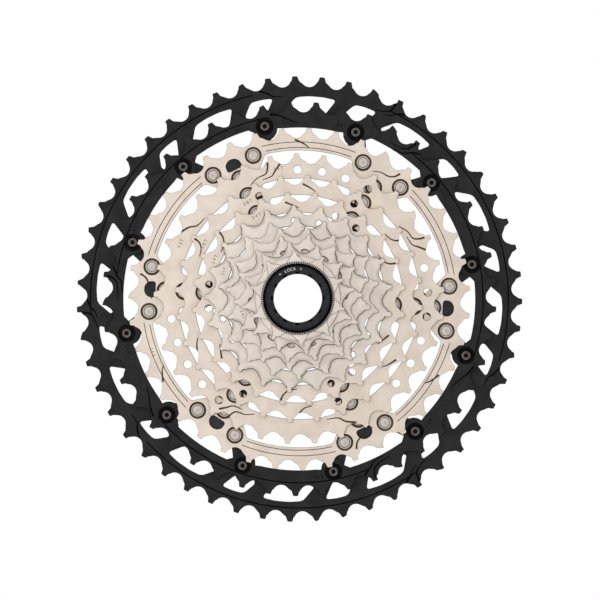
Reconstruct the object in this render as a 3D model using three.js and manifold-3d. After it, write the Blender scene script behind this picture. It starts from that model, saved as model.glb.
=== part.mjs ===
// A twelve-speed bicycle cassette: six large sprockets riveted to a stepped six-arm spider, six loose
// sprockets and their spacers stacked on the same splines, and the lockring that clamps the stack.
// Units are millimetres. +Z is the axle, pointing outboard; z = 0 is the back face of the largest sprocket.
import * as THREE from "three";
import { mergeVertices } from "three/addons/utils/BufferGeometryUtils.js";
import Module from "manifold-3d";

const wasm = await Module();
wasm.setup();

// Chain and stack
const chainPitch = 12.7;
const rollerSeat = 3.9;
const sprocketPitch = 3.6;
const alloyThickness = 1.8;
const steelThickness = 1.6;
const faceGap = 0.04;

// Splined bore that slides over the freehub body
const splineCount = 23;
const boreRadius = 16.9;
const splineDepth = 0.9;

// Spider
const armCount = 6;
const firstArmAngle = 56.25;
const armWidth = 12;
const hubWall = 3.6;
const hubBack = 5;
const tineAngle = 15;
const tineWidth = 8.4;
const rivetMargin = 4.6;
const stepClearance = 0.5;
const forkPlateThickness = 3.2;
const forkNotch = 1.5;

// Rivets: shank, head and the free space round the shank
const shankRadius = 2.2;
const rivetClearance = 0.12;
const rivetSides = 6;
const blackRivet = { headRadius: 4, headHeight: 0.7, colour: 0x1c1c1c };
const silverRivet = { headRadius: 3.05, headHeight: 0.5, colour: 0xd9d2cb };

// Rivet circles, as the depth of each below its sprocket's tooth roots
const alloyRivetInset = 5;
const forkRivetInset = 4.9;
const forkRivetAngle = 8.55;
const thirdRivetInset = 12.6;
const rivetInset33 = 9.4;
const rivetInset28 = 8.8;
const rivetInset24 = 10.2;

// Largest sprocket: rim below the teeth, truss windows and inner band
const rimDepth51 = 4.75;
const windowHeight51 = 7.5;
const innerBand51 = 4;
const strutAngle51 = 4.6;
const windowLean51 = 3.2;
const smallWindow51 = 6.5;
const largeWindow51 = 12;

// Depth of each riveted ring below its tooth roots, between the arms
const archDepth45 = 7.1;
const flatDepth45 = 5;
const archDepth39 = 5.8;
const archDepth33 = 6.9;
const archDepth28 = 4.6;
const archDepth24 = 4.8;
const padHalfAngle39 = 11.5;
const padHalfWidth = 6.5;
const padFlare = 1.5;

// Lightening holes of the loose sprockets
const webWindowRim = 3.3;
const webWindowHub = 4.2;
const webSpokeWidth = 7;
const lensHoleLength = 4.2;
const lensHoleWidth = 1.7;
const lensHoleInset = 2.7;

// Spacers, outermost sprocket's boss, washer and lockring
const spacerWall = 1.8;
const lockringThreadRadius = 13.5;
const lockringBoreRadius = 11.1;
const lockringFlangeRadius = 15.5;
const lockringFlange = 1.9;
const lockringBevel = 0.8;
const lockringThreadLength = 6;
const notchCount = 12;
const notchWidth = 1.2;
const notchDepth = 1.1;
const notchLength = 5;
const washerThickness = 0.5;
const washerRadius = 16.3;
const serrationCount = 36;
const serrationDepth = 0.35;
const threadClearance = 0.4;

const champagne = 0xe3d7ca;
const blackAnodised = 0x242424;

// Sprockets from the inboard side out. phase is the angle of one tooth, rise the tooth's height above the
// pitch circle and tip the width of its top.
const sprockets = [
  { teeth: 51, phase: -0.9, rise: 1.05, tip: 3.3, thickness: alloyThickness, colour: blackAnodised },
  { teeth: 45, phase: 4.7, rise: 1, tip: 3.2, thickness: alloyThickness, colour: blackAnodised },
  { teeth: 39, phase: 3.2, rise: 0.8, tip: 3.1, thickness: steelThickness, colour: champagne },
  { teeth: 33, phase: 3.3, rise: 0.8, tip: 3, thickness: steelThickness, colour: champagne },
  { teeth: 28, phase: 8.3, rise: 0.8, tip: 2.9, thickness: steelThickness, colour: champagne },
  { teeth: 24, phase: 5.7, rise: 0.9, tip: 2.8, thickness: steelThickness, colour: champagne },
  { teeth: 21, phase: 7, rise: 0.9, tip: 2.7, thickness: steelThickness, colour: champagne },
  { teeth: 18, phase: 10.5, rise: 0.9, tip: 2.6, thickness: steelThickness, colour: champagne },
  { teeth: 16, phase: 14.8, rise: 0.9, tip: 2.5, thickness: steelThickness, colour: champagne },
  { teeth: 14, phase: 2.5, rise: 1, tip: 2.3, thickness: steelThickness, colour: champagne },
  { teeth: 12, phase: 8.5, rise: 1.6, tip: 2, thickness: steelThickness, colour: champagne },
  { teeth: 10, phase: 22, rise: 1.6, tip: 1.8, thickness: steelThickness, colour: champagne },
];
sprockets.forEach((sprocket, i) => {
  sprocket.z = i * sprocketPitch;
  sprocket.top = sprocket.z + sprocket.thickness;
  sprocket.pitchRadius = chainPitch / 2 / Math.sin(Math.PI / sprocket.teeth);
  sprocket.root = sprocket.pitchRadius - rollerSeat;
});
const bySize = Object.fromEntries(sprockets.map((sprocket) => [sprocket.teeth, sprocket]));

// Rivet circles
const rivetCircle45 = bySize[45].root - alloyRivetInset;
const rivetCircle39 = bySize[39].root - forkRivetInset;
const thirdCircle39 = bySize[39].root - thirdRivetInset;
const rivetCircle33 = bySize[33].root - rivetInset33;
const rivetCircle28 = bySize[28].root - rivetInset28;
const rivetCircle24 = bySize[24].root - rivetInset24;

// Steps of each arm, from the hub out: the rivet circle on the step and the height of its seat
const armSteps = [
  { circle: rivetCircle24, seat: bySize[24].z },
  { circle: rivetCircle28, seat: bySize[28].z },
  { circle: rivetCircle33, seat: bySize[33].z },
  { circle: thirdCircle39, seat: bySize[39].z },
];
armSteps.forEach((step, i) => {
  step.edge = i < armSteps.length - 1 ? (step.circle + armSteps[i + 1].circle) / 2 : step.circle + rivetMargin;
});

const radians = THREE.MathUtils.degToRad;
const hubRadius = boreRadius + splineDepth + hubWall;
const armAngles = Array.from({ length: armCount }, (_, i) => firstArmAngle + (i * 360) / armCount);
const wholeCassette = new THREE.Group();

function polar(radius, degrees) {
  return new THREE.Vector2(radius * Math.cos(radians(degrees)), radius * Math.sin(radians(degrees)));
}

// Evenly spaced points along an arc about the axle, both ends included
function arcPoints(radius, from, to, steps) {
  return Array.from({ length: steps + 1 }, (_, i) => polar(radius, from + ((to - from) * i) / steps));
}

function circlePoints(centre, radius, steps) {
  return arcPoints(radius, 0, 360, steps).slice(0, -1).map((p) => p.add(centre));
}

// A plate with straight sides between two heights, from its outline and the outlines of its holes
function plate(outline, holes, from, to) {
  const shape = new THREE.Shape(outline);
  shape.holes = holes.map((points) => new THREE.Path(points));
  const geometry = new THREE.ExtrudeGeometry(shape, { depth: to - from, bevelEnabled: false });
  return geometry.translate(0, 0, from);
}

// A solid of revolution about the axle, from [radius, height] pairs, with its first corner on +X
function revolved(profile, segments) {
  const points = profile.map(([radius, height]) => new THREE.Vector2(radius, height));
  return new THREE.LatheGeometry(points, segments).rotateX(Math.PI / 2).rotateZ(Math.PI / 2);
}

function solidOf(geometry) {
  const bare = geometry.clone();
  bare.deleteAttribute("normal");
  bare.deleteAttribute("uv");
  const merged = mergeVertices(bare, 1e-4);
  const vertProperties = merged.attributes.position.array;
  const triVerts = new Uint32Array(merged.index.array);
  return new wasm.Manifold(new wasm.Mesh({ numProp: 3, vertProperties, triVerts }));
}

function geometryOf(solid) {
  const mesh = solid.getMesh();
  const geometry = new THREE.BufferGeometry();
  geometry.setAttribute("position", new THREE.BufferAttribute(mesh.vertProperties, 3));
  geometry.setIndex(new THREE.BufferAttribute(mesh.triVerts, 1));
  geometry.computeVertexNormals();
  return geometry;
}

function joined(geometries) {
  return geometryOf(geometries.map(solidOf).reduce((all, next) => all.add(next)));
}

function addMesh(name, geometry, colour, roughness = 0.35) {
  const material = new THREE.MeshStandardMaterial({ color: colour, roughness, metalness: 0.9 });
  const mesh = new THREE.Mesh(geometry, material);
  mesh.name = name;
  wholeCassette.add(mesh);
  return mesh;
}

// Teeth with a flat tip, and between them an arc of the roller's radius about each roller's centre
function toothOutline(sprocket) {
  const tipRadius = sprocket.pitchRadius + sprocket.rise;
  const halfTip = THREE.MathUtils.radToDeg(sprocket.tip / 2 / tipRadius);
  const step = 360 / sprocket.teeth;
  const points = [];
  for (let i = 0; i < sprocket.teeth; i++) {
    const tooth = sprocket.phase + i * step;
    const gap = tooth + step / 2;
    points.push(polar(tipRadius, tooth - halfTip), polar(tipRadius, tooth + halfTip));
    const roller = polar(sprocket.pitchRadius, gap);
    for (const turn of [66, 0, -66]) points.push(polar(rollerSeat, gap + 180 + turn).add(roller));
  }
  return points;
}

function splinedBore() {
  const step = 360 / splineCount;
  const points = [];
  for (let i = 0; i < splineCount; i++) {
    const start = i * step;
    points.push(polar(boreRadius, start), polar(boreRadius, start + step * 0.42));
    const depth = boreRadius + splineDepth;
    points.push(polar(depth, start + step * 0.54), polar(depth, start + step * 0.88));
  }
  return points;
}

const rivetHole = (centre) => circlePoints(centre, shankRadius + rivetClearance, rivetSides);

// Inner edge of a riveted ring: arches between the arms, and a straight-ended pad reaching in to each
// arm's rivets, padReach from the axle
function paddedEdge(archRadius, padReach, padHalfAngle) {
  const span = 360 / armCount;
  const centre = polar(0, 0);
  return armAngles.flatMap((arm) => [
    new THREE.Vector2(padReach, -padHalfWidth).rotateAround(centre, radians(arm)),
    new THREE.Vector2(padReach, padHalfWidth).rotateAround(centre, radians(arm)),
    ...arcPoints(archRadius, arm + padHalfAngle, arm + span - padHalfAngle, 5),
  ]);
}

// How far from the axle the pad on one step of the arm ends
function padEnd(step) {
  return step > 0 ? armSteps[step - 1].edge + stepClearance : rivetCircle24 - rivetMargin;
}

// Half angle that a pad of a given half width takes up at a radius
const halfAngleAt = (halfWidth, radius) => THREE.MathUtils.radToDeg(Math.asin(halfWidth / radius));

// Inner edge with a round lobe about each of the outer rivets, and its own radius beside each lobe
function lobedEdge(radiusAtArm, radiusBetween) {
  const lobeAngle = halfAngleAt(rivetMargin + 0.9, radiusAtArm);
  const lobeTip = rivetCircle45 - rivetMargin;
  const points = [];
  armAngles.forEach((arm) => {
    const next = arm + 360 / armCount;
    for (const [lobe, after, until] of [
      [arm - tineAngle, radiusAtArm, arm + tineAngle],
      [arm + tineAngle, radiusBetween, next - tineAngle],
    ]) {
      points.push(polar(lobeTip, lobe - lobeAngle * 0.55), polar(lobeTip, lobe + lobeAngle * 0.55));
      points.push(...arcPoints(after, lobe + lobeAngle, until - lobeAngle, 4));
    }
  });
  return points;
}

const outerRivets = armAngles.flatMap((arm) => [arm - tineAngle, arm + tineAngle])
  .map((angle) => polar(rivetCircle45, angle));
const forkRivets = armAngles.flatMap((arm) => [arm - forkRivetAngle, arm + forkRivetAngle])
  .map((angle) => polar(rivetCircle39, angle));
const rivetsOn = (radius) => armAngles.map((arm) => polar(radius, arm));

// Truss windows of the largest sprocket, leaning between the rim and the inner band
function trussWindows() {
  const top = bySize[51].root - rimDepth51;
  const bottom = top - windowHeight51;
  return armAngles.flatMap((arm) => [arm - tineAngle, arm + tineAngle]).flatMap((rivet) => {
    const smallStart = rivet - smallWindow51 / 2 - strutAngle51 / 8;
    const largeStart = smallStart + smallWindow51 + strutAngle51;
    return [
      [...arcPoints(top, smallStart, smallStart + smallWindow51, 2),
        polar(bottom, smallStart + smallWindow51 + windowLean51 / 3), polar(bottom, smallStart + windowLean51)],
      [...arcPoints(top, largeStart, largeStart + largeWindow51, 3),
        polar(bottom, largeStart + largeWindow51 + windowLean51 / 2), polar(bottom, largeStart + windowLean51)],
    ];
  });
}

function addSprocket(sprocket, inner, holes, z = [sprocket.z, sprocket.top]) {
  const geometry = plate(toothOutline(sprocket), [inner, ...holes], ...z);
  addMesh(`sprocket_${sprocket.teeth}t`, geometry, sprocket.colour);
}

function buildRivetedSprockets() {
  const band = bySize[51].root - rimDepth51 - windowHeight51 - innerBand51;
  addSprocket(bySize[51], lobedEdge(band, band), [...trussWindows(), ...outerRivets.map(rivetHole)]);

  const root45 = bySize[45].root;
  const edge45 = lobedEdge(root45 - flatDepth45, root45 - archDepth45);
  addSprocket(bySize[45], edge45, outerRivets.map(rivetHole));

  const edge39 = paddedEdge(bySize[39].root - archDepth39, padEnd(3), padHalfAngle39 + padFlare);
  addSprocket(bySize[39], edge39, forkRivets.map(rivetHole));

  for (const [teeth, archDepth, step, rivets] of [
    [33, archDepth33, 2, rivetsOn(rivetCircle33)],
    [28, archDepth28, 1, rivetsOn(rivetCircle28)],
    [24, archDepth24, 0, []],
  ]) {
    const arch = bySize[teeth].root - archDepth;
    const edge = paddedEdge(arch, padEnd(step), halfAngleAt(padHalfWidth, arch) + padFlare);
    addSprocket(bySize[teeth], edge, rivets.map(rivetHole));
  }
}

// Six windows between spokes, from the hub of a loose sprocket to the rim below its teeth
function webWindows(sprocket) {
  const outer = sprocket.root - webWindowRim;
  const inner = boreRadius + splineDepth + webWindowHub;
  const outerHalf = 180 / armCount - halfAngleAt(webSpokeWidth / 2, outer);
  const innerHalf = 180 / armCount - halfAngleAt(webSpokeWidth / 2, inner);
  return armAngles.map((arm) => {
    const middle = arm + 180 / armCount;
    return [...arcPoints(outer, middle - outerHalf, middle + outerHalf, 2),
      ...arcPoints(inner, middle + innerHalf, middle - innerHalf, 2)];
  });
}

function lensHoles(sprocket) {
  const radius = sprocket.root - lensHoleInset;
  const half = halfAngleAt(lensHoleLength / 2, radius);
  return Array.from({ length: sprocket.teeth / 2 }, (_, i) => {
    const middle = sprocket.phase + (i * 720) / sprocket.teeth;
    return [polar(radius, middle - half), polar(radius - lensHoleWidth / 2, middle),
      polar(radius, middle + half), polar(radius + lensHoleWidth / 2, middle)];
  });
}

function buildLooseSprockets() {
  const bore = splinedBore();
  addSprocket(bySize[21], bore, webWindows(bySize[21]), [bySize[21].z + faceGap, bySize[21].top]);
  addSprocket(bySize[18], bore, webWindows(bySize[18]), [bySize[18].z + faceGap, bySize[18].top]);
  addSprocket(bySize[16], bore, [], [bySize[16].z + faceGap, bySize[16].top]);
  addSprocket(bySize[14], bore, lensHoles(bySize[14]), [bySize[14].z + faceGap, bySize[14].top]);
  addSprocket(bySize[12], bore, [], [bySize[12].z + faceGap, bySize[12].top]);
  buildTenTooth();
}

// The outermost sprocket stands on a boss that spans the gap to its neighbour
function buildTenTooth() {
  const ten = bySize[10];
  const bore = circlePoints(polar(0, 0), lockringThreadRadius + threadClearance, 36);
  const bossRadius = boreRadius + splineDepth + spacerWall;
  const boss = plate(circlePoints(polar(0, 0), bossRadius, 36), [bore], bySize[12].top + faceGap, ten.z + 0.2);
  const teeth = plate(toothOutline(ten), [bore], ten.z, ten.top);
  addMesh("sprocket_10t", joined([boss, teeth]), ten.colour);
}

// A plain ring between two neighbouring loose sprockets
function buildSpacers() {
  const inner = boreRadius + splineDepth;
  for (const [below, above] of [[24, 21], [21, 18], [18, 16], [16, 14], [14, 12]]) {
    const ring = circlePoints(polar(0, 0), inner + spacerWall, 24);
    const bore = circlePoints(polar(0, 0), inner, 24);
    const seat = below === 24 ? bySize[24].z : bySize[below].top;
    addMesh(`spacer_${above}t`, plate(ring, [bore], seat + faceGap, bySize[above].z), 0x3a3a3a, 0.6);
  }
}

// Stepped rib of one arm along +X: each step carries one sprocket's pad
function ribOutline() {
  const tineBottom = bySize[51].top + faceGap;
  const points = [[hubRadius - 1, hubBack]];
  armSteps.forEach(({ edge, seat }, i) => {
    const start = i > 0 ? armSteps[i - 1].edge : hubRadius - 1;
    points.push([start, seat - faceGap], [edge, seat - faceGap]);
  });
  points.push([thirdCircle39 + rivetMargin, tineBottom], [rivetCircle33, tineBottom]);
  return points.map(([radius, height]) => new THREE.Vector2(radius, height));
}

function armSolids() {
  const rib = new THREE.ExtrudeGeometry(new THREE.Shape(ribOutline()), { depth: armWidth, bevelEnabled: false })
    .translate(0, 0, -armWidth / 2).rotateX(Math.PI / 2);
  const start = rivetCircle33 - rivetMargin;
  const plateTop = bySize[39].z - faceGap;
  const ear = polar(rivetCircle39, forkRivetAngle);
  const earEnd = ear.x + rivetMargin;
  const earSide = ear.y + rivetMargin;
  const fork = plate([
    new THREE.Vector2(start, -armWidth / 2), new THREE.Vector2(thirdCircle39 - 2, -armWidth / 2),
    new THREE.Vector2(ear.x - 4, -earSide), new THREE.Vector2(earEnd, -earSide),
    new THREE.Vector2(earEnd, -3), new THREE.Vector2(earEnd - forkNotch, 0), new THREE.Vector2(earEnd, 3),
    new THREE.Vector2(earEnd, earSide), new THREE.Vector2(ear.x - 4, earSide),
    new THREE.Vector2(thirdCircle39 - 2, armWidth / 2), new THREE.Vector2(start, armWidth / 2),
  ], [], plateTop - forkPlateThickness, plateTop);
  return [rib, fork, tine(1), tine(-1)];
}

// One of the two prongs that reach from an arm to a rivet between the two largest sprockets
function tine(side) {
  const foot = polar(rivetCircle33, 0);
  const tip = polar(rivetCircle45, side * tineAngle);
  const along = tip.clone().sub(foot).normalize();
  const across = new THREE.Vector2(-along.y, along.x).multiplyScalar(tineWidth / 2);
  const heading = THREE.MathUtils.radToDeg(along.angle());
  const end = Array.from({ length: 5 }, (_, i) => polar(tineWidth / 2, heading - 90 + i * 45).add(tip));
  const outline = [foot.clone().sub(across), ...end, foot.clone().add(across)];
  return plate(outline, [], bySize[51].top + faceGap, bySize[45].z - faceGap);
}

function buildSpider() {
  const hub = plate(circlePoints(polar(0, 0), hubRadius, 36), [splinedBore()], hubBack, bySize[24].z - faceGap);
  let spider = solidOf(hub);
  for (const arm of armAngles) {
    const turn = new THREE.Matrix4().makeRotationZ(radians(arm));
    for (const piece of armSolids()) spider = spider.add(solidOf(piece.applyMatrix4(turn)));
  }
  const below = bySize[51].z;
  const above = bySize[24].top;
  const holes = [...outerRivets, ...forkRivets, ...rivetsOn(rivetCircle33), ...rivetsOn(rivetCircle28)];
  for (const hole of holes) spider = spider.subtract(solidOf(plate(rivetHole(hole), [], below, above)));
  addMesh("spider", geometryOf(spider), blackAnodised, 0.45);
}

// A rivet with its head on the outer sprocket and its tail flush with the far side
function buildRivets(name, centres, kind, tail, seat) {
  const top = seat + faceGap;
  const profile = [[0, tail], [shankRadius, tail], [shankRadius, top], [kind.headRadius, top],
    [kind.headRadius, top + kind.headHeight], [0, top + kind.headHeight]];
  centres.forEach((centre, i) => {
    const rivet = addMesh(`${name}_${String(i + 1).padStart(2, "0")}`, revolved(profile, rivetSides), kind.colour);
    rivet.position.set(centre.x, centre.y, 0);
  });
}

function buildAllRivets() {
  const forkBack = bySize[39].z - faceGap - forkPlateThickness;
  buildRivets("rivet_51t", outerRivets, blackRivet, bySize[51].z, bySize[45].top);
  buildRivets("rivet_39t", forkRivets, silverRivet, forkBack, bySize[39].top);
  buildRivets("rivet_33t", rivetsOn(rivetCircle33), silverRivet, bySize[39].top, bySize[33].top);
  buildRivets("rivet_28t", rivetsOn(rivetCircle28), silverRivet, bySize[33].top, bySize[28].top);
}

// Serrated washer under the lockring's flange
function buildWasher() {
  const step = 360 / serrationCount;
  const rim = Array.from({ length: serrationCount }, (_, i) => [
    polar(washerRadius, i * step),
    polar(washerRadius - serrationDepth, (i + 0.5) * step),
  ]).flat();
  const bore = circlePoints(polar(0, 0), lockringThreadRadius + threadClearance, 36);
  const bottom = bySize[10].top + faceGap;
  addMesh("lock_washer", plate(rim, [bore], bottom, bottom + washerThickness), 0xcfcac4);
}

// Threaded sleeve with a flange, and tool notches cut down into its bore from the outer face
function buildLockring() {
  const seat = bySize[10].top + 2 * faceGap + washerThickness;
  const top = seat + lockringFlange;
  const body = revolved([
    [lockringBoreRadius, seat - lockringThreadLength],
    [lockringThreadRadius, seat - lockringThreadLength],
    [lockringThreadRadius, seat],
    [lockringFlangeRadius, seat],
    [lockringFlangeRadius, top - lockringBevel],
    [lockringFlangeRadius - lockringBevel, top],
    [lockringBoreRadius, top],
    [lockringBoreRadius, seat - lockringThreadLength],
  ], 36);
  let ring = solidOf(body);
  for (let i = 0; i < notchCount; i++) {
    const notch = new THREE.BoxGeometry(2 * notchDepth, notchWidth, 2 * notchLength);
    notch.translate(lockringBoreRadius, 0, top).rotateZ(radians((i * 360) / notchCount));
    ring = ring.subtract(solidOf(notch));
  }
  addMesh("lockring", geometryOf(ring), 0x2a2a2a, 0.3);
}

buildSpider();
buildRivetedSprockets();
buildAllRivets();
buildLooseSprockets();
buildSpacers();
buildWasher();
buildLockring();

export default wholeCassette;
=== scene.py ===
import math
from collections import Counter

import bpy
from mathutils import Matrix, Vector


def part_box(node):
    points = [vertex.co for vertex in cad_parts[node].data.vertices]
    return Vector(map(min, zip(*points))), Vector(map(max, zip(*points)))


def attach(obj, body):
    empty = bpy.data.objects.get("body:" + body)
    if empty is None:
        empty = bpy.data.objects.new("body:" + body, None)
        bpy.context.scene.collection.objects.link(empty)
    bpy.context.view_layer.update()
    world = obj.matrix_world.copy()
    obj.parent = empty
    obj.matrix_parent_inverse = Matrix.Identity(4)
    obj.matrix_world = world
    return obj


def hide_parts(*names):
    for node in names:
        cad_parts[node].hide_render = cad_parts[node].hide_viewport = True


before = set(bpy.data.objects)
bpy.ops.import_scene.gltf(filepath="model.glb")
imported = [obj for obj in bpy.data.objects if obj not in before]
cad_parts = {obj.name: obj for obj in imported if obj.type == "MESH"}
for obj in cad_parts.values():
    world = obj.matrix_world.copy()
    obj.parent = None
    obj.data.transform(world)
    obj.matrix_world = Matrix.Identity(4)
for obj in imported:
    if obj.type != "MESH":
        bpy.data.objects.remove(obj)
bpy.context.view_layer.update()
mm = 0.001
print("frame loaded:", len(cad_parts), "nodes")


def polar(radius, degrees):
    return (radius * math.cos(math.radians(degrees)), radius * math.sin(math.radians(degrees)))


def arc(radius, start, end, steps):
    return [polar(radius, start + (end - start) * i / steps) for i in range(steps + 1)]


def circle(centre, radius, steps):
    return [(centre[0] + x, centre[1] + y) for x, y in arc(radius, 0, 360, steps)[:-1]]


# operators act on everything selected, so each step starts from an empty selection
def activate(piece):
    bpy.ops.object.select_all(action="DESELECT")
    piece.select_set(True)
    bpy.context.view_layer.objects.active = piece


# a disc is added, its corners are dragged to the outline, and it is extruded to a plate
def makePlate(name, outline, bottom, top):
    bpy.ops.object.select_all(action="DESELECT")
    bpy.ops.mesh.primitive_circle_add(vertices=len(outline), radius=mm, fill_type="NGON")
    piece = bpy.context.object
    piece.name = name
    for vertex, (x, y) in zip(piece.data.vertices, outline):
        vertex.co = (x * mm, y * mm, bottom * mm)
    bpy.ops.object.mode_set(mode="EDIT")
    bpy.ops.mesh.select_all(action="SELECT")
    bpy.ops.mesh.extrude_region_move(TRANSFORM_OT_translate={"value": (0, 0, (top - bottom) * mm)})
    bpy.ops.mesh.select_all(action="SELECT")
    bpy.ops.mesh.normals_make_consistent(inside=False)
    bpy.ops.object.mode_set(mode="OBJECT")
    return piece


def joinPieces(pieces):
    activate(pieces[0])
    for piece in pieces:
        piece.select_set(True)
    if len(pieces) > 1:
        bpy.ops.object.join()
    return pieces[0]


def applyModifier(piece, kind, **settings):
    activate(piece)
    modifier = piece.modifiers.new(kind.lower(), kind)
    for key, value in settings.items():
        setattr(modifier, key, value)
    bpy.ops.object.modifier_apply(modifier=modifier.name)


def countOpenEdges(mesh):
    return sum(uses != 2 for uses in Counter(loop.edge_index for loop in mesh.loops).values())


# a boolean that leaves nothing or opens the surface is tried again with slower settings
def cut(piece, cutters, operation="DIFFERENCE"):
    tool = joinPieces(cutters)
    before = piece.data
    results = []
    for settings in ({"solver": "EXACT"}, {"solver": "EXACT", "use_self": True}, {"solver": "FAST"}):
        piece.data = before.copy()
        applyModifier(piece, "BOOLEAN", operation=operation, object=tool, **settings)
        if piece.data.polygons:
            results.append((countOpenEdges(piece.data), len(results), piece.data))
            if results[-1][0] == 0:
                break
        print("boolean tried again on", piece.name)
    bpy.data.objects.remove(tool)
    if not results:
        raise ValueError(f"nothing is left of {piece.name}")
    piece.data = min(results)[2]


# outline whose corners are turned into short curves
def roundCorners(points, radius, steps=4):
    rounded = []
    for i, point in enumerate(points):
        corner = Vector(point)
        before = Vector(points[i - 1]) - corner
        after = Vector(points[(i + 1) % len(points)]) - corner
        reach = min(radius, before.length * 0.45, after.length * 0.45)
        start, end = corner + before.normalized() * reach, corner + after.normalized() * reach
        for j in range(steps + 1):
            t = j / steps
            rounded.append(tuple(start * (1 - t) ** 2 + corner * (2 * t * (1 - t)) + end * t ** 2))
    return rounded


def softenEdges(piece, width, segments=2, angle=40):
    applyModifier(piece, "BEVEL", width=width * mm, segments=segments, limit_method="ANGLE",
                  angle_limit=math.radians(angle), use_clamp_overlap=False, harden_normals=False)


# the face metal goes on flat faces, the edge metal on walls, chamfers and pit floors as painted shade, and the third
# on marks
def finish(piece, body, metals, node=None, pits=(), markHeight=math.inf):
    activate(piece)
    bpy.ops.object.mode_set(mode="EDIT")
    bpy.ops.mesh.select_all(action="SELECT")
    bpy.ops.mesh.remove_doubles(threshold=0.002 * mm)
    bpy.ops.mesh.delete_loose(use_verts=True, use_edges=True, use_faces=False)
    bpy.ops.object.mode_set(mode="OBJECT")
    bpy.ops.object.shade_smooth_by_angle(angle=math.radians(15))
    piece.data.materials.clear()
    for metal in metals:
        piece.data.materials.append(metal)
    if len(metals) > 1:
        for face in piece.data.polygons:
            height = face.center.z / mm
            pit = any(abs(height - floor) < 0.05 for floor in pits)
            # index 1, the edge metal, is painted shade on walls, chamfers and pit floors
            face.material_index = 2 if height > markHeight else 1 if pit or abs(face.normal.z) < 0.85 else 0
    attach(piece, body)
    if node:
        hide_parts(node)
    print(piece.name, len(piece.data.polygons))
    return piece


# letters standing on a circle, tops outwards
def makeMark(text, radius, angle, size, bottom, top):
    letters = []
    for i, letter in enumerate(text):
        turn = angle - (i - (len(text) - 1) / 2) * math.degrees(0.72 * size / radius)
        bpy.ops.object.select_all(action="DESELECT")
        bpy.ops.object.text_add(radius=size * mm)
        bpy.context.object.data.body = letter
        bpy.context.object.data.align_x = "CENTER"
        bpy.context.object.data.extrude = (top - bottom) / 2 * mm
        bpy.ops.object.convert(target="MESH")
        piece = bpy.context.object
        piece.data.transform(Matrix.Rotation(math.radians(turn - 90), 4, "Z")
                             @ Matrix.Translation((0, radius * mm, (bottom + top) / 2 * mm)))
        letters.append(piece)
    return joinPieces(letters)


markDepth = {"below": 0.05, "above": 0.015, "test": 0.005}


# tooth counts marked on the face, each at a radius and an angle
def addMarks(piece, count, places, size=2.3):
    if not places:
        return
    top = sprockets[count]["top"]
    marks = [makeMark(f"{count}T", radius, angle, size, top - markDepth["below"], top + markDepth["above"])
             for radius, angle in places]
    joinPieces([piece, *marks])


# camera high over the small side, about one degree off the axle
view = {"height": 1.75, "offset": (0.030, -0.015), "aim": (0.00033, -0.00047, 0.0), "lens": 224.4,
        "clip": (0.05, 20)}


def makeCamera():
    place = Vector((view["offset"][0], view["offset"][1], view["height"]))
    bpy.ops.object.camera_add(location=place)
    camera = bpy.context.object
    backward = (place - Vector(view["aim"])).normalized()
    right = Vector((0, 1, 0)).cross(backward).normalized()
    camera.rotation_euler = Matrix((right, backward.cross(right), backward)).transposed().to_euler()
    camera.data.lens = view["lens"]
    camera.data.clip_start, camera.data.clip_end = view["clip"]
    bpy.context.scene.camera = camera


makeCamera()


def hexToLinear(code):
    channels = [int(code[i:i + 2], 16) / 255 for i in (1, 3, 5)]
    return [c / 12.92 if c <= 0.04045 else ((c + 0.055) / 1.055) ** 2.4 for c in channels] + [1.0]


# adds one node, sets its sockets and settings, and links its inputs
def addNode(tree, kind, settings=None, values=None, links=None):
    node = tree.nodes.new(kind)
    for key, value in (settings or {}).items():
        setattr(node, key, value)
    for key, value in (values or {}).items():
        node.inputs[key].default_value = value
    for key, source in (links or {}).items():
        tree.links.new(source, node.inputs[key])
    return node


# share of the noise below which the darker tone is plain, and above which the lighter one is
toneEnds = (0.3, 0.7)
grainDepth = 0.05


def makeFinish(name, look):
    material = bpy.data.materials.new(name)
    material.use_nodes = True
    tree = material.node_tree
    tree.nodes.clear()
    place = addNode(tree, "ShaderNodeTexCoord").outputs["Object"]
    cloud = addNode(tree, "ShaderNodeTexNoise", None, {"Scale": 1 / (look["cloud"] * mm), "Detail": 3.0},
                    {"Vector": place})
    tone = addNode(tree, "ShaderNodeValToRGB", None, None, {"Fac": cloud.outputs["Fac"]})
    for end, position, shade in zip(tone.color_ramp.elements, toneEnds, ("dark", "light")):
        end.position = position
        end.color = hexToLinear(look[shade])
    grain = addNode(tree, "ShaderNodeTexNoise", None, {"Scale": 1 / (look["grain"] * mm), "Detail": 4.0},
                    {"Vector": place})
    rough = addNode(tree, "ShaderNodeMapRange", None,
                    {"To Min": look["rough"] - look["roughSpread"], "To Max": look["rough"] + look["roughSpread"]},
                    {"Value": grain.outputs["Fac"]})
    bump = addNode(tree, "ShaderNodeBump", None, {"Strength": look["bump"], "Distance": grainDepth * mm},
                   {"Height": grain.outputs["Fac"]})
    shader = addNode(tree, "ShaderNodeBsdfPrincipled", None, {"Metallic": look["metal"]},
                     {"Base Color": tone.outputs["Color"], "Roughness": rough.outputs["Result"],
                      "Normal": bump.outputs["Normal"]})
    addNode(tree, "ShaderNodeOutputMaterial", None, None, {"Surface": shader.outputs["BSDF"]})
    return material


# Satin nickel plate: a warm champagne sheen with soft clouds. The cloud is drawn coarser than the
# real plating so that it shows at arm's length.
nickelSteel = makeFinish("nickelPlatedSteel", {
    "dark": "#DDCFC1", "light": "#E9DDD0", "cloud": 6.0, "grain": 0.35, "rough": 0.4, "roughSpread": 0.08,
    "bump": 0.12, "metal": 1.0})
# The small sprockets' satin plate: a little greyer and smoother, so they stand off the rings behind.
coolSteel = makeFinish("satinPlatedSteel", {
    "dark": "#D3C8BD", "light": "#E2D8CD", "cloud": 5.0, "grain": 0.3, "rough": 0.34, "roughSpread": 0.06,
    "bump": 0.12, "metal": 1.0})
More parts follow.
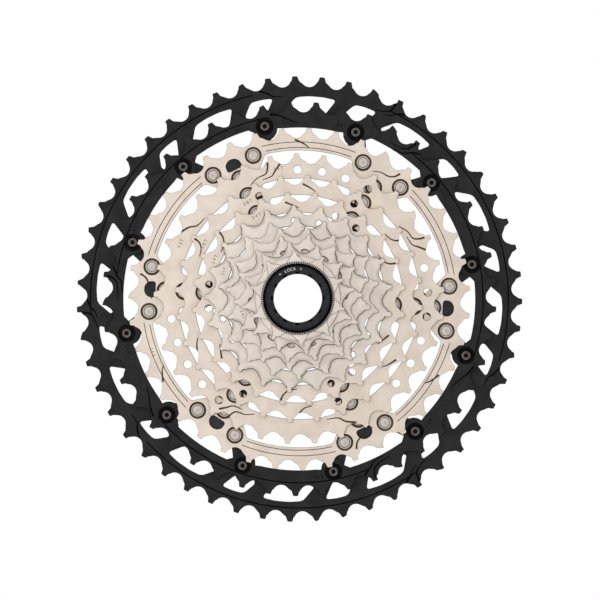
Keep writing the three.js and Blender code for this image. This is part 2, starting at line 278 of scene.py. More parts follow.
# Painted shade on walls, chamfers and pit floors: the brown line that draws each plate's outline.
shadedEdgeSteel = makeFinish("paintedShadeEdgeSteel", {
    "dark": "#4C3F32", "light": "#695947", "cloud": 3.0, "grain": 0.25, "rough": 0.5, "roughSpread": 0.1,
    "bump": 0.2, "metal": 1.0})
# The small sprockets' edges: a darker brown line of painted shade, drawn where their neighbours shade them.
shadeEdgeDeep = makeFinish("shadeEdgeDeepSteel", {
    "dark": "#2A2119", "light": "#3E3227", "cloud": 3.0, "grain": 0.25, "rough": 0.5, "roughSpread": 0.1,
    "bump": 0.2, "metal": 1.0})
# Black anodised aluminium: charcoal rather than ink, with a fine blasted grain (drawn coarser than life).
blackAlloy = makeFinish("blackAnodisedAluminium", {
    "dark": "#2E2E2E", "light": "#373737", "cloud": 5.0, "grain": 0.3, "rough": 0.5, "roughSpread": 0.08,
    "bump": 0.15, "metal": 1.0})
# The same anodising drawn near black as painted shade where a wall turns away from the light and on the floors of
# grooves, steps and gaps, so steps and dishes read.
blackEdge = makeFinish("blackAnodisedEdge", {
    "dark": "#0A0A0A", "light": "#141414", "cloud": 4.0, "grain": 0.25, "rough": 0.5, "roughSpread": 0.1,
    "bump": 0.15, "metal": 1.0})
# The forged spider's thinner anodising: dark grey, seen through the windows as a shade of its own.
greyAlloy = makeFinish("greyAnodisedAluminium", {
    "dark": "#343436", "light": "#414143", "cloud": 5.0, "grain": 0.3, "rough": 0.5, "roughSpread": 0.08,
    "bump": 0.2, "metal": 1.0})
# Pressed rivet heads: smooth, cool and bright, a glint in the champagne field.
rivetSteel = makeFinish("pressedRivetSteel", {
    "dark": "#C9C1B8", "light": "#D6CEC6", "cloud": 2.0, "grain": 0.4, "rough": 0.42, "roughSpread": 0.05,
    "bump": 0.05, "metal": 1.0})
# The bare end of a riveted pin: dull grey metal in the black head.
pinSteel = makeFinish("bareRivetPinSteel", {
    "dark": "#55504C", "light": "#716B66", "cloud": 1.5, "grain": 0.2, "rough": 0.4, "roughSpread": 0.1,
    "bump": 0.2, "metal": 1.0})
# The serrated washer: clean bright teeth that tick round the black lockring.
washerSteel = makeFinish("brightWasherSteel", {
    "dark": "#BDB7B0", "light": "#CFC9C2", "cloud": 2.0, "grain": 0.2, "rough": 0.35, "roughSpread": 0.08,
    "bump": 0.1, "metal": 1.0})
# Polished black anodising, deep, with a tight highlight: the black rivets' collars and the lockring's rim. Drawn on
# the lockring's rim, walls and notch floors and in the rivets' dimples, its darker tone is also painted shade.
glossBlackAndShade = makeFinish("glossBlackAndShadeAnodising", {
    "dark": "#0C0C0D", "light": "#161617", "cloud": 3.0, "grain": 0.3, "rough": 0.3, "roughSpread": 0.06,
    "bump": 0.05, "metal": 1.0})
# The lockring's flat face: soft black, a shade lighter than its rim.
matteBlack = makeFinish("matteBlackAnodising", {
    "dark": "#333335", "light": "#3E3E40", "cloud": 3.0, "grain": 0.3, "rough": 0.55, "roughSpread": 0.08,
    "bump": 0.15, "metal": 1.0})
# Pad-printed marking: flat white, the only bright thing on the lockring.
whitePaint = makeFinish("whiteMarkingPaint", {
    "dark": "#EDEDED", "light": "#FFFFFF", "cloud": 1.0, "grain": 0.2, "rough": 0.6, "roughSpread": 0.1,
    "bump": 0.1, "metal": 0.0})
# Stamped tooth counts: shallow darker strokes that only show from near.
markedSteel = makeFinish("etchedMarkSteel", {
    "dark": "#7A6A5C", "light": "#8F7F70", "cloud": 1.0, "grain": 0.2, "rough": 0.6, "roughSpread": 0.1,
    "bump": 0.1, "metal": 1.0})
black = (blackAlloy, blackEdge, blackEdge)
silver = (nickelSteel, shadedEdgeSteel, markedSteel)
coolSilver = (coolSteel, shadeEdgeDeep, markedSteel)

# tooth shapes F full, L lower left corner, S short, N narrow, P pointed, seen from the lockring side
sprockets = {
    51: {"phase": -0.9, "rise": 1.05, "tip": 3.3, "teeth": "FFFFFSLLSNPFFFFLF"},
    45: {"phase": 4.7, "rise": 1.0, "tip": 3.2, "teeth": "FFFFSSNPFFFFLFF"},
    39: {"phase": 3.2, "rise": 0.8, "tip": 3.1, "teeth": "FFFFFNPFFFLFF"},
    33: {"phase": 3.3, "rise": 0.8, "tip": 3.0, "teeth": "FFNPFFFFFNPFFLFFFFFFFNPFFFFLFFFFF"},
    28: {"phase": 8.3, "rise": 0.8, "tip": 2.9, "teeth": "FFNPFFFFFFLFFF"},
    24: {"phase": 5.7, "rise": 0.9, "tip": 2.8, "teeth": "FFNPFFLF"},
    21: {"phase": 7.0, "rise": 0.9, "tip": 2.7, "teeth": "FNPFFLF"},
    18: {"phase": 10.5, "rise": 0.9, "tip": 2.6, "teeth": "FNPFFL"},
    16: {"phase": 14.8, "rise": 0.9, "tip": 2.5, "teeth": "FFNPFFLF"},
    14: {"phase": 2.5, "rise": 1.0, "tip": 2.3, "teeth": "FNPFFLF"},
    12: {"phase": 8.5, "rise": 1.6, "tip": 2.0, "teeth": "FNPFLF"},
    10: {"phase": 22.0, "rise": 1.6, "tip": 1.8, "teeth": "FNPFL"},
}
chain = {"pitch": 12.7, "seat": 3.9, "seatSteps": 9, "leftFlank": 62, "rightFlank": 47}
# corners of a tooth from right to left: how far left of its middle, and how far above its tip circle
toothShapes = {
    "F": [(-1.6, -2.3), (-0.65, 0.0), (1.65, 0.0), (2.1, -1.8)],
    "L": [(-1.6, -2.3), (-0.4, 0.0), (1.7, -0.65), (2.15, -1.9)],
    "S": [(-1.75, -2.4), (-0.65, -0.3), (0.3, 0.0), (1.25, -0.55), (2.1, -2.0)],
    "N": [(-1.6, -2.1), (-1.0, 0.0), (1.55, 0.0), (1.6, -1.8)],
    "P": [(-2.2, -2.6), (-1.8, -1.6), (-0.05, -0.6), (1.7, 0.0), (2.3, -2.0)]}
widestTip = 3.3
for count, one in sprockets.items():
    low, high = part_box(f"sprocket_{count}t")
    one["bottom"], one["top"] = low.z / mm, high.z / mm
    one["pitchRadius"] = chain["pitch"] / 2 / math.sin(math.pi / count)
    one["root"] = one["pitchRadius"] - chain["seat"]
    one["tipRadius"] = one["pitchRadius"] + one["rise"]


def toothOutline(count):
    one = sprockets[count]
    step = 360 / count
    outline = []
    for i in range(count):
        tooth = one["phase"] + i * step
        for left, up in toothShapes[one["teeth"][i % len(one["teeth"])]]:
            side = math.degrees(left * one["tip"] / widestTip / one["tipRadius"])
            outline.append(polar(one["tipRadius"] + up, tooth + side))
        gap = tooth + step / 2
        roller = polar(one["pitchRadius"], gap)
        for j in range(chain["seatSteps"] + 1):
            turn = chain["leftFlank"] - (chain["leftFlank"] + chain["rightFlank"]) * j / chain["seatSteps"]
            x, y = polar(chain["seat"], gap + 180 + turn)
            outline.append((roller[0] + x, roller[1] + y))
    return outline


def makeToothedPlate(count, bottom=None):
    one = sprockets[count]
    return makePlate(f"toothed_{count}", toothOutline(count), one["bottom"] if bottom is None else bottom, one["top"])


arms = [56.25 + 60 * i for i in range(6)]
rivetAngles = {"outer": 15.0, "fork": 8.55}
circles = {"outer": sprockets[45]["root"] - 5.0, "fork": sprockets[39]["root"] - 4.9,
           "third": sprockets[39]["root"] - 12.6, "on33": sprockets[33]["root"] - 9.4,
           "on28": sprockets[28]["root"] - 8.8, "on24": sprockets[24]["root"] - 10.2}


def throughPlate(name, outline, count, extra=1.0):
    one = sprockets[count]
    return makePlate(name, outline, one["bottom"] - extra, one["top"] + extra)


# smooth line through points
def smoothCurve(points, steps=4):
    curve = []
    for i in range(len(points) - 1):
        before, start, end, after = (points[max(0, min(len(points) - 1, i + k))] for k in (-1, 0, 1, 2))
        for j in range(steps):
            t = j / steps
            curve.append(tuple(0.5 * (2 * b + (c - a) * t + (2 * a - 5 * b + 4 * c - d) * t ** 2
                                      + (3 * b - a - 3 * c + d) * t ** 3)
                               for a, b, c, d in zip(before, start, end, after)))
    return curve + [points[-1]]


# tool for a shift ramp's step: a strip along a curve, wide where it starts and narrow where it ends
def makeStrip(points, widths, bottom, top):
    curve = smoothCurve([polar(radius, angle) for radius, angle in points])
    left, right = [], []
    for i, (x, y) in enumerate(curve):
        nextX, nextY = curve[min(i + 1, len(curve) - 1)]
        lastX, lastY = curve[max(i - 1, 0)]
        dx, dy = nextX - lastX, nextY - lastY
        half = (widths[0] + (widths[1] - widths[0]) * i / (len(curve) - 1)) / 2 / math.hypot(dx, dy)
        left.append((x - dy * half, y + dx * half))
        right.append((x + dy * half, y - dx * half))
    return makePlate("stripTool", left + right[::-1], bottom, top)


def makeRingTool(radius, width, start, end, bottom, top):
    steps = max(3, round(abs(end - start) / 3))
    outline = arc(radius + width / 2, start, end, steps) + arc(radius - width / 2, end, start, steps)
    return makePlate("ringTool", outline, bottom, top)


def drill(centres, radius, count, steps=24):
    return [throughPlate("drillTool", circle(centre, radius, steps), count) for centre in centres]


def makeCone(name, centre, lowRadius, highRadius, bottom, top, steps=36):
    bpy.ops.object.select_all(action="DESELECT")
    bpy.ops.mesh.primitive_cone_add(vertices=steps, radius1=lowRadius * mm, radius2=highRadius * mm,
                                    depth=(top - bottom) * mm)
    piece = bpy.context.object
    piece.name = name
    piece.data.transform(Matrix.Translation((centre[0] * mm, centre[1] * mm, (bottom + top) / 2 * mm)))
    return piece


dish = {"width": 1.3, "depth": 0.5, "inset": 0.3}


# shallow dish round a gullet: the flanks there are coined thinner than the web
def makeDishes(count, gaps):
    one, depth = sprockets[count], dish["depth"]
    reach = chain["seat"] - dish["inset"]
    slope = (dish["width"] + dish["inset"]) / depth
    tools = []
    for gap in gaps:
        centre = polar(one["pitchRadius"], one["phase"] + (gap + 0.5) * 360 / count)
        tools.append(makeCone("dishTool", centre, reach, reach + slope * (depth + 0.5),
                              one["top"] - depth, one["top"] + 0.5))
    return tools


rampSteps = {"grooveDepth": 0.3, "depth": 0.55, "widths": (1.0, 0.35)}


# turned grooves and curved shift steps, repeated round the ring; gives back the heights of their floors, which finish
# paints with the edge metal as painted shade
def cutRamps(piece, count, grooves, ramps, repeat, grooveWidth):
    top = sprockets[count]["top"]
    grooveFloor, stepFloor = top - rampSteps["grooveDepth"], top - rampSteps["depth"]
    if grooves:
        cut(piece, [makeRingTool(radius, grooveWidth, start, end, grooveFloor, top + 1)
                    for radius, start, end in grooves])
    cut(piece, [makeStrip([(radius, angle + i * 360 / repeat) for radius, angle in points], rampSteps["widths"],
                          stepFloor, top + 1) for points in ramps for i in range(repeat)])
    return grooveFloor, stepFloor


rivetPlaces = {
    "outer": [polar(circles["outer"], arm + side * rivetAngles["outer"]) for arm in arms for side in (-1, 1)],
    "fork": [polar(circles["fork"], arm + side * rivetAngles["fork"]) for arm in arms for side in (-1, 1)],
    **{place: [polar(circles[place], arm) for arm in arms] for place in ("third", "on33", "on28", "on24")},
}
rivetHole = 2.3
edgeWidth = 0.22
seatRing = {"radius": 3.9, "depth": 0.9}


# pits round the silver rivets' heads; their floors take the edge metal, a ring of painted shade
def counterbore(piece, count, places):
    top = sprockets[count]["top"]
    cut(piece, [makePlate("pitTool", circle(place, seatRing["radius"], 32), top - seatRing["depth"], top + 1)
                for place in places])


truss = {
    "small": [(94.5, -3.8), (94.8, -0.5), (94.5, 2.7), (89.0, 5.2), (87.0, 4.7), (87.0, -0.7), (88.5, -1.5)],
    "large": [(94.5, 8.2), (95.0, 12.0), (95.0, 16.0), (94.5, 19.7), (88.5, 23.2), (87.0, 22.4), (86.8, 17.0),
              (87.0, 11.3), (88.2, 10.4)],
    "corner": 1.8, "innerRadius": 82.9, "lobe": 5.6, "lobeShift": 1.0, "lobeTurn": 5.6, "lobeSweep": 80}


# hole inside a ring: its edge runs between the lobes that reach in to the outer rivets
def lobedHole(count, atArm, between):
    outline = []
    half = rivetAngles["outer"]
    for arm in arms:
        for lobe, radius, until in ((arm - half, atArm, arm + half), (arm + half, between, arm + 60 - half)):
            middle = polar(circles["outer"] - truss["lobeShift"], lobe)
            outline += [(middle[0] + x, middle[1] + y)
                        for x, y in arc(truss["lobe"], lobe + 180 + truss["lobeSweep"],
                                        lobe + 180 - truss["lobeSweep"], 8)]
            outline += arc(radius, lobe + truss["lobeTurn"], until - truss["lobeTurn"], 8)
    return throughPlate("innerTool", outline, count)


# radii and angles of the turned grooves and of the curved shift steps, which repeat three times
blackRings = {
    51: {"groove": (97.7, 103, 184),
         "ramps": [[(99.3, 60.1), (97.6, 62.3), (95.8, 63.5), (94.9, 65.2)],
                   [(101.9, 63.5), (98.2, 64.0), (96.4, 65.4), (95.3, 68.2)],
                   [(99.0, 101), (96.9, 98.5), (95.4, 97.3), (95.2, 94.5)]]},
    45: {"groove": (85.8, 100, 172), "atArm": 5, "between": 7.1, "marks": (82.6, 20),
         "ramps": [[(88.2, 50), (85.4, 53), (83.4, 54.5), (82.8, 58)],
                   [(90.6, 53), (86.6, 54), (85.0, 56), (84.6, 60)],
                   [(87.3, 99), (85.9, 96), (83.6, 93), (82.0, 90)]]},
    "repeat": 3, "grooveWidth": 0.6}


def cutBlackRamps(piece, count):
    radius, start, end = blackRings[count]["groove"]
    repeat = blackRings["repeat"]
    grooves = [(radius, i * 360 / repeat + start, i * 360 / repeat + end) for i in range(repeat)]
    return cutRamps(piece, count, grooves, blackRings[count]["ramps"], repeat, blackRings["grooveWidth"])


def makeLargestSprocket():
    piece = makeToothedPlate(51)
    windows = []
    for rivet in [arm + side * rivetAngles["outer"] for arm in arms for side in (-1, 1)]:
        for window in ("small", "large"):
            outline = roundCorners([polar(radius, rivet + angle) for radius, angle in truss[window]], truss["corner"])
            windows.append(throughPlate("windowTool", outline, 51))
    cut(piece, [lobedHole(51, truss["innerRadius"], truss["innerRadius"])])
    cut(piece, windows)
    cut(piece, drill(rivetPlaces["outer"], rivetHole, 51))
    softenEdges(piece, edgeWidth)
    pits = cutBlackRamps(piece, 51)
    finish(piece, "riveted_cluster", black, "sprocket_51t", pits)


def makeSecondSprocket():
    piece = makeToothedPlate(45)
    ring, root = blackRings[45], sprockets[45]["root"]
    cut(piece, [lobedHole(45, root - ring["atArm"], root - ring["between"])])
    cut(piece, drill(rivetPlaces["outer"], rivetHole, 45))
    softenEdges(piece, edgeWidth)
    pits = cutBlackRamps(piece, 45)
    radius, side = ring["marks"]
    addMarks(piece, 45, [(radius, arm + turn) for arm in arms[::2] for turn in (side, -side)])
    finish(piece, "riveted_cluster", black, "sprocket_45t", pits,
           sprockets[45]["top"] + markDepth["test"])


# hole inside a silver ring: arches between the arms and a pad over each arm
def paddedHole(count, archRadius, padReach, padAngle):
    outline = []
    for arm in arms:
        turn = Matrix.Rotation(math.radians(arm), 2)
        for side in (-padSide, padSide):
            outline.append(tuple(turn @ Vector((padReach, side))))
        outline += arc(archRadius, arm + padAngle, arm + 60 - padAngle, 12)
    return throughPlate("innerTool", roundCorners(outline, 1.5, 3), count)


padSide = 6.5
padSteps = {24: circles["on24"] - 4.6, 28: (circles["on24"] + circles["on28"]) / 2 + 2,
            33: (circles["on28"] + circles["on33"]) / 2 + 2, 39: (circles["on33"] + circles["third"]) / 2 + 0.5}
ramps33 = [[(63.3, 21), (60.5, 23.5), (58.4, 25.5), (57.8, 30)],
           [(65.0, 26), (62.4, 26.5), (60.0, 28), (59.3, 32), (57.4, 36)]]
rings = {
    39: {"arch": 5.8, "padAngle": 13.0, "rivets": "fork", "marks": [(71.8, 200)], "holes": [], "holeRadius": 0,
         "grooves": [(radius, arm + start, arm + 60 - start) for arm in arms
                     for radius, start in ((73.1, 12.5), (70.5, 13.5))],
         "ramps": [[(74.9, 51), (72.2, 52), (70.6, 54), (70.2, 57), (68.6, 60)],
                   [(74.2, 91.5), (72.2, 88), (70.2, 86)]], "repeat": 3},
    33: {"arch": 6.9, "padAngle": 8.5, "rivets": "on33", "marks": [(60.5, 99), (60.0, 155)],
         "holes": [(60.0, angle) for angle in (2.8, 13.8, 57.8, 68.8, 79.7, 90.6, 189, 199.8, 210.5, 221.5, 231.7,
                                               319, 330, 341, 352)], "holeRadius": 1.9,
         "grooves": [],
         "ramps": [*ramps33, *[[(radius, angle + 77) for radius, angle in points] for points in ramps33],
                   *[[(radius, angle + 213) for radius, angle in points] for points in ramps33],
                   [(63.3, 151), (61, 147), (58.8, 145), (57.9, 143), (57.6, 139)],
                   [(63.3, 295), (61, 291), (58.8, 289), (57.9, 287), (57.6, 283)]], "repeat": 1},
    28: {"arch": 4.6, "padAngle": 10.0, "rivets": "on28", "marks": [(49.8, 118), (50.0, 150)],
         "holes": [(51.0, angle) for angle in (59.7, 111.1, 239.7, 291.1)], "holeRadius": 1.75,
         "grooves": [],
         "ramps": [[(55.9, 30), (53, 30.5), (50.8, 33), (50.1, 37)],
                   [(53.3, 88), (51.7, 84), (50.2, 81)]], "repeat": 3},
    24: {"arch": 4.8, "padAngle": 10.5, "rivets": None, "marks": [(42.2, 117), (42.2, 155)],
         "holes": [(42.0, angle) for angle in (51, 66, 171, 186, 291, 306)], "holeRadius": 1.7,
         "grooves": [],
         "ramps": [[(47.9, 20), (45, 21), (42.8, 24), (41.9, 29)],
                   [(45.1, 98), (43.5, 94), (42.1, 90)]], "repeat": 3},
}


# half round holes over the arms, missing on the first
dome = {"corners": [(67.2, -3.2), (67.0, 0), (67.2, 3.2), (70.5, 2.9), (72.2, 1.2), (72.2, -1.2), (70.5, -2.9)],
        "round": 1.4}
ringGroove = 0.35


def makeRing(count):
    ring, one = rings[count], sprockets[count]
    piece = makeToothedPlate(count)
    cut(piece, [paddedHole(count, one["root"] - ring["arch"], padSteps[count], ring["padAngle"])])
    if ring["rivets"]:
        cut(piece, drill(rivetPlaces[ring["rivets"]], rivetHole, count))
        counterbore(piece, count, rivetPlaces[ring["rivets"]])
    if ring["holes"]:
        cut(piece, drill([polar(*place) for place in ring["holes"]], ring["holeRadius"], count))
    if count == 39:
        outlines = [[polar(radius, arm + angle) for radius, angle in dome["corners"]] for arm in arms[1:]]
        cut(piece, [throughPlate("domeTool", roundCorners(outline, dome["round"]), count) for outline in outlines])
        counterbore(piece, count, rivetPlaces["third"])
    softenEdges(piece, edgeWidth)
    pits = cutRamps(piece, count, ring["grooves"], ring["ramps"], ring["repeat"], ringGroove)
    addMarks(piece, count, ring["marks"])
    finish(piece, "riveted_cluster", silver, f"sprocket_{count}t",
           (*pits, one["top"] - seatRing["depth"]), one["top"] + markDepth["test"])


spline = {"count": 23, "inner": 16.9, "depth": 0.9}


def splineOutline():
    step = 360 / spline["count"]
    outer = spline["inner"] + spline["depth"]
    outline = []
    for i in range(spline["count"]):
        outline += [polar(spline["inner"], step * i), polar(spline["inner"], step * (i + 0.42)),
                    polar(outer, step * (i + 0.54)), polar(outer, step * (i + 0.88))]
    return outline


# window is the outer radius, the inner radius and the turn of the openings between the spokes;
# lens is the radius, the first angle, the half width and the half length of the lens-shaped holes
loose = {
    21: {"marks": [(36.2, 160)],
         "holes": [(36.0, angle) for angle in (75, 93, 195, 212, 314, 332)], "holeRadius": 1.4,
         "window": (33.6, 23.0, 30), "dishes": [0, 1, 5, 6, 7, 8, 12, 13, 14, 15, 19, 20]},
    18: {"marks": [(29.8, 172)], "holes": [], "window": (28.2, 22.5, 30),
         "dishes": [1, 2, 3, 7, 8, 9, 13, 14, 15]},
    16: {"marks": [(26.0, 196)], "holes": [], "window": None, "dishes": [0, 2, 3, 6, 8, 10, 11, 14]},
    14: {"marks": [(22.6, 120), (22.6, 197)], "holes": [], "window": None, "lens": (21.8, 4.2, 0.9, 1.8),
         "dishes": [1, 4, 5, 8, 11, 12]},
    12: {"marks": [], "holes": [], "window": None, "dishes": [0, 2, 3, 5, 6, 8, 9, 11]},
}
looseEdge = {"width": 0.28, "angle": 25, "markSize": 1.9}
windowSweep = {"outer": 20, "inner": 17, "corner": 1.5}


def makeLooseSprocket(count):
    kind = loose[count]
    piece = makeToothedPlate(count)
    cut(piece, [throughPlate("boreTool", splineOutline(), count)])
    if kind["holes"]:
        cut(piece, drill([polar(*place) for place in kind["holes"]], kind["holeRadius"], count))
    if kind["window"]:
        outer, inner, lean = kind["window"]
        tools = []
        for arm in arms:
            middle, wide, narrow = arm + lean, windowSweep["outer"], windowSweep["inner"]
            outline = [*arc(outer, middle - wide, middle + wide, 5), *arc(inner, middle + narrow, middle - narrow, 4)]
            tools.append(throughPlate("windowTool", roundCorners(outline, windowSweep["corner"], 3), count))
        cut(piece, tools)
    if "lens" in kind:
        radius, first, halfWidth, halfLength = kind["lens"]
        cut(piece, [throughPlate("lensTool", [polar(radius + halfWidth * x, first + i * 360 / count
                                                    + math.degrees(halfLength * y / radius))
                                              for x, y in circle((0, 0), 1, 20)], count) for i in range(count)])
    cut(piece, makeDishes(count, kind["dishes"]))
    softenEdges(piece, looseEdge["width"], 2, looseEdge["angle"])
    addMarks(piece, count, kind["marks"], looseEdge["markSize"])
    finish(piece, f"loose_{count}t", coolSilver, f"sprocket_{count}t",
           markHeight=sprockets[count]["top"] + markDepth["test"])


threadClearance = 13.9
smallest = {"thickness": 1.6, "boss": 19.5, "bossDrop": 0.8}


def makeSmallestSprocket():
    one = sprockets[10]
    piece = makeToothedPlate(10, one["top"] - smallest["thickness"])
    cut(piece, [makePlate("boss", circle((0, 0), smallest["boss"], 72), one["bottom"],
                          one["top"] - smallest["bossDrop"])], "UNION")
    cut(piece, [makePlate("boreTool", circle((0, 0), threadClearance, 72), one["bottom"] - 1, one["top"] + 1)])
    softenEdges(piece, edgeWidth)
    finish(piece, "loose_10t", coolSilver, "sprocket_10t")


makeLargestSprocket()
makeSecondSprocket()
print("black sprockets made")
for count in rings:
    makeRing(count)
print("riveted silver sprockets made")
for count in loose:
    makeLooseSprocket(count)
makeSmallestSprocket()
print("loose sprockets made")


# turned part: a half outline is spun about the axle
def makeTurned(name, profile, steps):
    bpy.ops.object.select_all(action="DESELECT")
    bpy.ops.mesh.primitive_circle_add(vertices=len(profile), radius=mm, fill_type="NOTHING")
    piece = bpy.context.object
    piece.name = name
    for vertex, (radius, height) in zip(piece.data.vertices, profile):
        vertex.co = (radius * mm, 0, height * mm)
    bpy.ops.object.mode_set(mode="EDIT")
    bpy.ops.mesh.select_all(action="SELECT")
    bpy.ops.mesh.spin(steps=steps, angle=2 * math.pi, center=(0, 0, 0), axis=(0, 0, 1))
    bpy.ops.mesh.select_all(action="SELECT")
    bpy.ops.mesh.remove_doubles(threshold=0.002 * mm)
    bpy.ops.mesh.delete_loose(use_verts=True, use_edges=True, use_faces=False)
    bpy.ops.mesh.normals_make_consistent(inside=False)
    bpy.ops.object.mode_set(mode="OBJECT")
    return piece


def copyTo(master, name, centre, lift):
    piece = master.copy()
    piece.data = master.data.copy()
    piece.name = name
    bpy.context.collection.objects.link(piece)
    piece.data.transform(Matrix.Translation((centre[0] * mm, centre[1] * mm, lift * mm)))
    return piece


# heads stand on a face at height 0; length is what is below it. A dimple keeps the collar's dark metal, painted shade
# in its hollow, and a ringed head has the groove round its pin drawn in the edge metal, a line of painted shade
def makeRivet(name, kind):
    head, pin, dimple, high = kind["head"], kind["pin"], kind["dimple"], kind["high"]
    seat = kind["seat"]
    profile = [(0, -kind["length"]), (2.0, -kind["length"]), (2.2, 0.2 - kind["length"]), (2.2, seat), (head, seat),
               (head, high - 0.2), (head - 0.2, high), (pin + 0.3, high), (pin + 0.12, high - kind["cup"]),
               (pin, high - kind["cup"]), (pin - 0.2, high - 0.06), (dimple + 0.15, high - 0.06),
               (dimple, high - 0.3), (0, high - 0.35)]
    piece = makeTurned(name, profile, 36)
    piece.data.materials.append(kind["collar"])
    piece.data.materials.append(kind["metal"])
    piece.data.materials.append(shadedEdgeSteel)
    for face in piece.data.polygons:
        radius = math.hypot(face.center.x, face.center.y) / mm
        if dimple * kind["darkDimple"] < radius < pin - 0.05:
            face.material_index = 1
        elif pin - 0.05 <= radius < pin + 0.3 and kind["ringed"]:
            face.material_index = 2
        else:
            face.material_index = 0
    activate(piece)
    bpy.ops.object.shade_smooth_by_angle(angle=math.radians(28))
    return piece


blackKind = {"head": 4.0, "pin": 2.25, "cup": 0.3, "metal": pinSteel, "collar": glossBlackAndShade, "dimple": 0.9,
             "darkDimple": 1, "ringed": False, "high": 0.7, "seat": 0.0, "length": 5.4}
silverKind = {"head": 3.05, "pin": 2.2, "cup": 0.12, "metal": rivetSteel, "collar": rivetSteel, "dimple": 0.3,
              "darkDimple": 0, "ringed": True, "high": 0.5, "seat": -0.85, "length": 4.8}
rivets = [
    ("rivet_51t", "outer", 45, blackKind, "black_rivets"),
    ("rivet_39t", "fork", 39, silverKind, "silver_rivets"),
    ("rivet_33t", "on33", 33, silverKind, "silver_rivets"),
    ("rivet_28t", "on28", 28, silverKind, "silver_rivets"),
    ("rivet_third", "third", 39, silverKind, "silver_rivets"),
    ("rivet_24t", "on24", 24, silverKind, "silver_rivets"),
]
masters = {"black_rivets": makeRivet("blackRivet", blackKind), "silver_rivets": makeRivet("silverRivet", silverKind)}
for prefix, places, count, kind, slot in rivets:
    for i, centre in enumerate(rivetPlaces[places]):
        node = f"{prefix}_{i + 1:02d}"
        piece = copyTo(masters[slot], f"{node}_turned", centre, sprockets[count]["top"])
        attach(piece, "riveted_cluster")
        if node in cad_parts:
            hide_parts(node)
for master in masters.values():
    bpy.data.objects.remove(master)
print("rivets made")


def copyNode(node, name):
    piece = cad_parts[node].copy()
    piece.data = piece.data.copy()
    piece.name = name
    bpy.context.collection.objects.link(piece)
    piece.data.transform(piece.matrix_world)
    piece.matrix_world = Matrix.Identity(4)
    activate(piece)
    bpy.ops.object.mode_set(mode="EDIT")
    bpy.ops.mesh.select_all(action="SELECT")
    bpy.ops.mesh.remove_doubles(threshold=0.002 * mm)
    bpy.ops.mesh.dissolve_limited(angle_limit=math.radians(1))
    bpy.ops.object.mode_set(mode="OBJECT")
    return piece


# the prongs are trimmed flush with the edges of the pads that stand on them
padTrim = {"reach": 58.5, "side": 6.2, "outer": 69.6, "angle": 12.6}
spiderEdge = {"width": 0.35, "angle": 35}


def makeSpider():
    piece = copyNode("spider", "spider_forged")
    low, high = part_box("spider")
    tools = []
    for arm in arms:
        corners = [tuple(Matrix.Rotation(math.radians(turn), 2) @ Vector((padTrim["reach"], side)))
                   for turn, side in ((arm + 60, -padTrim["side"]), (arm, padTrim["side"]))]
        outline = arc(padTrim["outer"], arm + padTrim["angle"], arm + 60 - padTrim["angle"], 12) + corners
        tools.append(makePlate("trimTool", outline, low.z / mm - 1, high.z / mm + 1))
    cut(piece, tools)
    softenEdges(piece, spiderEdge["width"], 2, spiderEdge["angle"])
    finish(piece, "riveted_cluster", (greyAlloy,), "spider")


makeSpider()
print("spider made")


spacer = {"wall": 1.8, "chamfer": 0.2}


def makeSpacers():
    for count in loose:
        low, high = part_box(f"spacer_{count}t")
        bottom, top = low.z / mm, high.z / mm
        inner = spline["inner"] + spline["depth"]
        outer, chamfer = inner + spacer["wall"], spacer["chamfer"]
        piece = makeTurned(f"spacer_{count}t_turned",
                           [(inner, bottom), (outer - chamfer, bottom), (outer, bottom + chamfer),
                            (outer, top - chamfer), (outer - chamfer, top), (inner, top)], 72)
        finish(piece, f"loose_{count}t", (greyAlloy,), f"spacer_{count}t")


makeSpacers()
serrations = {"count": 124, "outer": 16.9, "inner": 15.9, "share": 0.42, "backing": 0.15, "step": 0.05}


def makeWasher():
    low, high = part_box("lock_washer")
    bottom, top = low.z / mm, high.z / mm
    step = 360 / serrations["count"]
    outline = []
    for i in range(serrations["count"]):
        start, end = i * step, (i + serrations["share"]) * step
        outline += [polar(serrations["inner"], start), polar(serrations["outer"], start),
                    polar(serrations["outer"], end), polar(serrations["inner"], end)]
    piece = makePlate("washer", outline, bottom + serrations["step"], top)
    floor = bottom + serrations["backing"]
    cut(piece, [makePlate("backing", circle((0, 0), serrations["outer"] - serrations["step"], 72), bottom,
                          floor)], "UNION")
    cut(piece, [makePlate("boreTool", circle((0, 0), threadClearance, 72), bottom - 1, top + 1)])
    # the washer's walls and the floor between its teeth take the near-black painted shade
    finish(piece, "captive_washer", (washerSteel, blackEdge), "lock_washer", [floor])


makeWasher()
lockring = {"bore": 11.1, "thread": 13.5, "threadDepth": 0.5, "lead": 1.0, "flange": 15.9, "flangeHeight": 1.9,
            "bevel": 0.75, "rim": 14.4, "rimWidth": 0.3, "faceDrop": 0.25, "lipDrop": 0.35, "lipWidth": 0.9,
            "notches": 12, "notch": 12.3, "notchHalf": 4.6, "notchDepth": 5}
lockMark = {"text": "< LOCK >", "radius": 12.8, "angle": 105, "size": 1.9, "below": 0.3, "drop": 0.23}


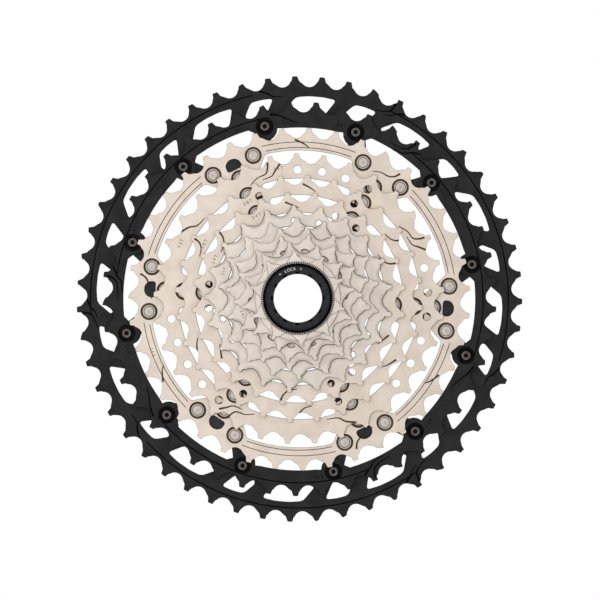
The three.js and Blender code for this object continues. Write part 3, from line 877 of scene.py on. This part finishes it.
def makeLockring():
    low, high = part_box("lockring")
    bottom, top = low.z / mm, high.z / mm
    bore, thread, rim, flange = (lockring[key] for key in ("bore", "thread", "rim", "flange"))
    core, seat = thread - lockring["threadDepth"], top - lockring["flangeHeight"]
    threads = []
    turns = int((seat - 0.6 - bottom) / lockring["lead"])
    for i in range(turns):
        height = bottom + i * lockring["lead"]
        threads += [(core, height + 0.15), (thread, height + 0.5), (thread, height + 0.65), (core, height + 1.0)]
    face, lip = top - lockring["faceDrop"], top - lockring["lipDrop"]
    profile = [(bore, bottom), *threads, (core, seat), (flange, seat), (flange, top - lockring["bevel"]),
               (rim + lockring["rimWidth"], top), (rim, top), (rim - 0.15, face),
               (bore + lockring["lipWidth"] + 0.2, face), (bore + lockring["lipWidth"], lip), (bore, lip)]
    piece = makeTurned("lockring_turned", profile, 96)
    notches = []
    for i in range(lockring["notches"]):
        start, end = (i * 360 / lockring["notches"] + side * lockring["notchHalf"] for side in (-1, 1))
        outline = [polar(bore - 1, start), polar(lockring["notch"], start), polar(lockring["notch"], end),
                   polar(bore - 1, end)]
        notches.append(makePlate("notchTool", outline, top - lockring["notchDepth"], top + 1))
    cut(piece, notches)
    joinPieces([piece, makeMark(lockMark["text"], lockMark["radius"], lockMark["angle"], lockMark["size"],
                                top - lockMark["below"], top - lockMark["drop"])])
    # the rim bevel, walls and notch floors take the gloss black, in part painted shade
    finish(piece, "lockring", (matteBlack, glossBlackAndShade, whitePaint), "lockring",
           [top - lockring["notchDepth"]])
    for face in piece.data.polygons:
        if abs(face.center.z / mm - top + lockMark["drop"]) < markDepth["test"]:
            face.material_index = 2


makeLockring()
print("small parts made")


# sky brightness runs from its low value at the first height to its high one at the second
studio = {"table": 6, "gap": 0.0005, "tableGlow": 1.0, "skyHeights": (0.15, 0.65), "sky": (0.2, 0.85),
          "lampPlace": (-0.3, 0.12, 1.7), "lampSize": 0.22, "lampPower": 0.7}


# a lit white table under the part, a pale sky and one small lamp near the camera
def makeStudio():
    bpy.ops.object.select_all(action="DESELECT")
    bpy.ops.mesh.primitive_plane_add(size=studio["table"], location=(0, 0, -studio["gap"]))
    floor = bpy.context.object
    floor.name = "floor"
    material = bpy.data.materials.new("litTable")
    material.use_nodes = True
    tree = material.node_tree
    tree.nodes.clear()
    glow = addNode(tree, "ShaderNodeEmission", None, {"Color": (1, 1, 1, 1), "Strength": studio["tableGlow"]})
    addNode(tree, "ShaderNodeOutputMaterial", None, None, {"Surface": glow.outputs["Emission"]})
    floor.data.materials.append(material)
    world = bpy.data.worlds.new("studioAir")
    bpy.context.scene.world = world
    world.use_nodes = True
    tree = world.node_tree
    direction = addNode(tree, "ShaderNodeTexCoord").outputs["Generated"]
    height = addNode(tree, "ShaderNodeSeparateXYZ", None, None, {"Vector": direction}).outputs["Z"]
    (lowest, highest), (dim, bright) = studio["skyHeights"], studio["sky"]
    glow = addNode(tree, "ShaderNodeMapRange", None,
                   {"From Min": lowest, "From Max": highest, "To Min": dim, "To Max": bright}, {"Value": height})
    tree.links.new(glow.outputs["Result"], tree.nodes["Background"].inputs["Strength"])
    tree.nodes["Background"].inputs["Color"].default_value = (1, 1, 1, 1)
    bpy.ops.object.light_add(type="AREA", location=studio["lampPlace"])
    lamp = bpy.context.object
    lamp.data.size = studio["lampSize"]
    lamp.data.energy = studio["lampPower"]
    lamp.rotation_euler = lamp.location.to_track_quat("Z", "Y").to_euler()
    bpy.context.scene.view_settings.view_transform = "Standard"


makeStudio()
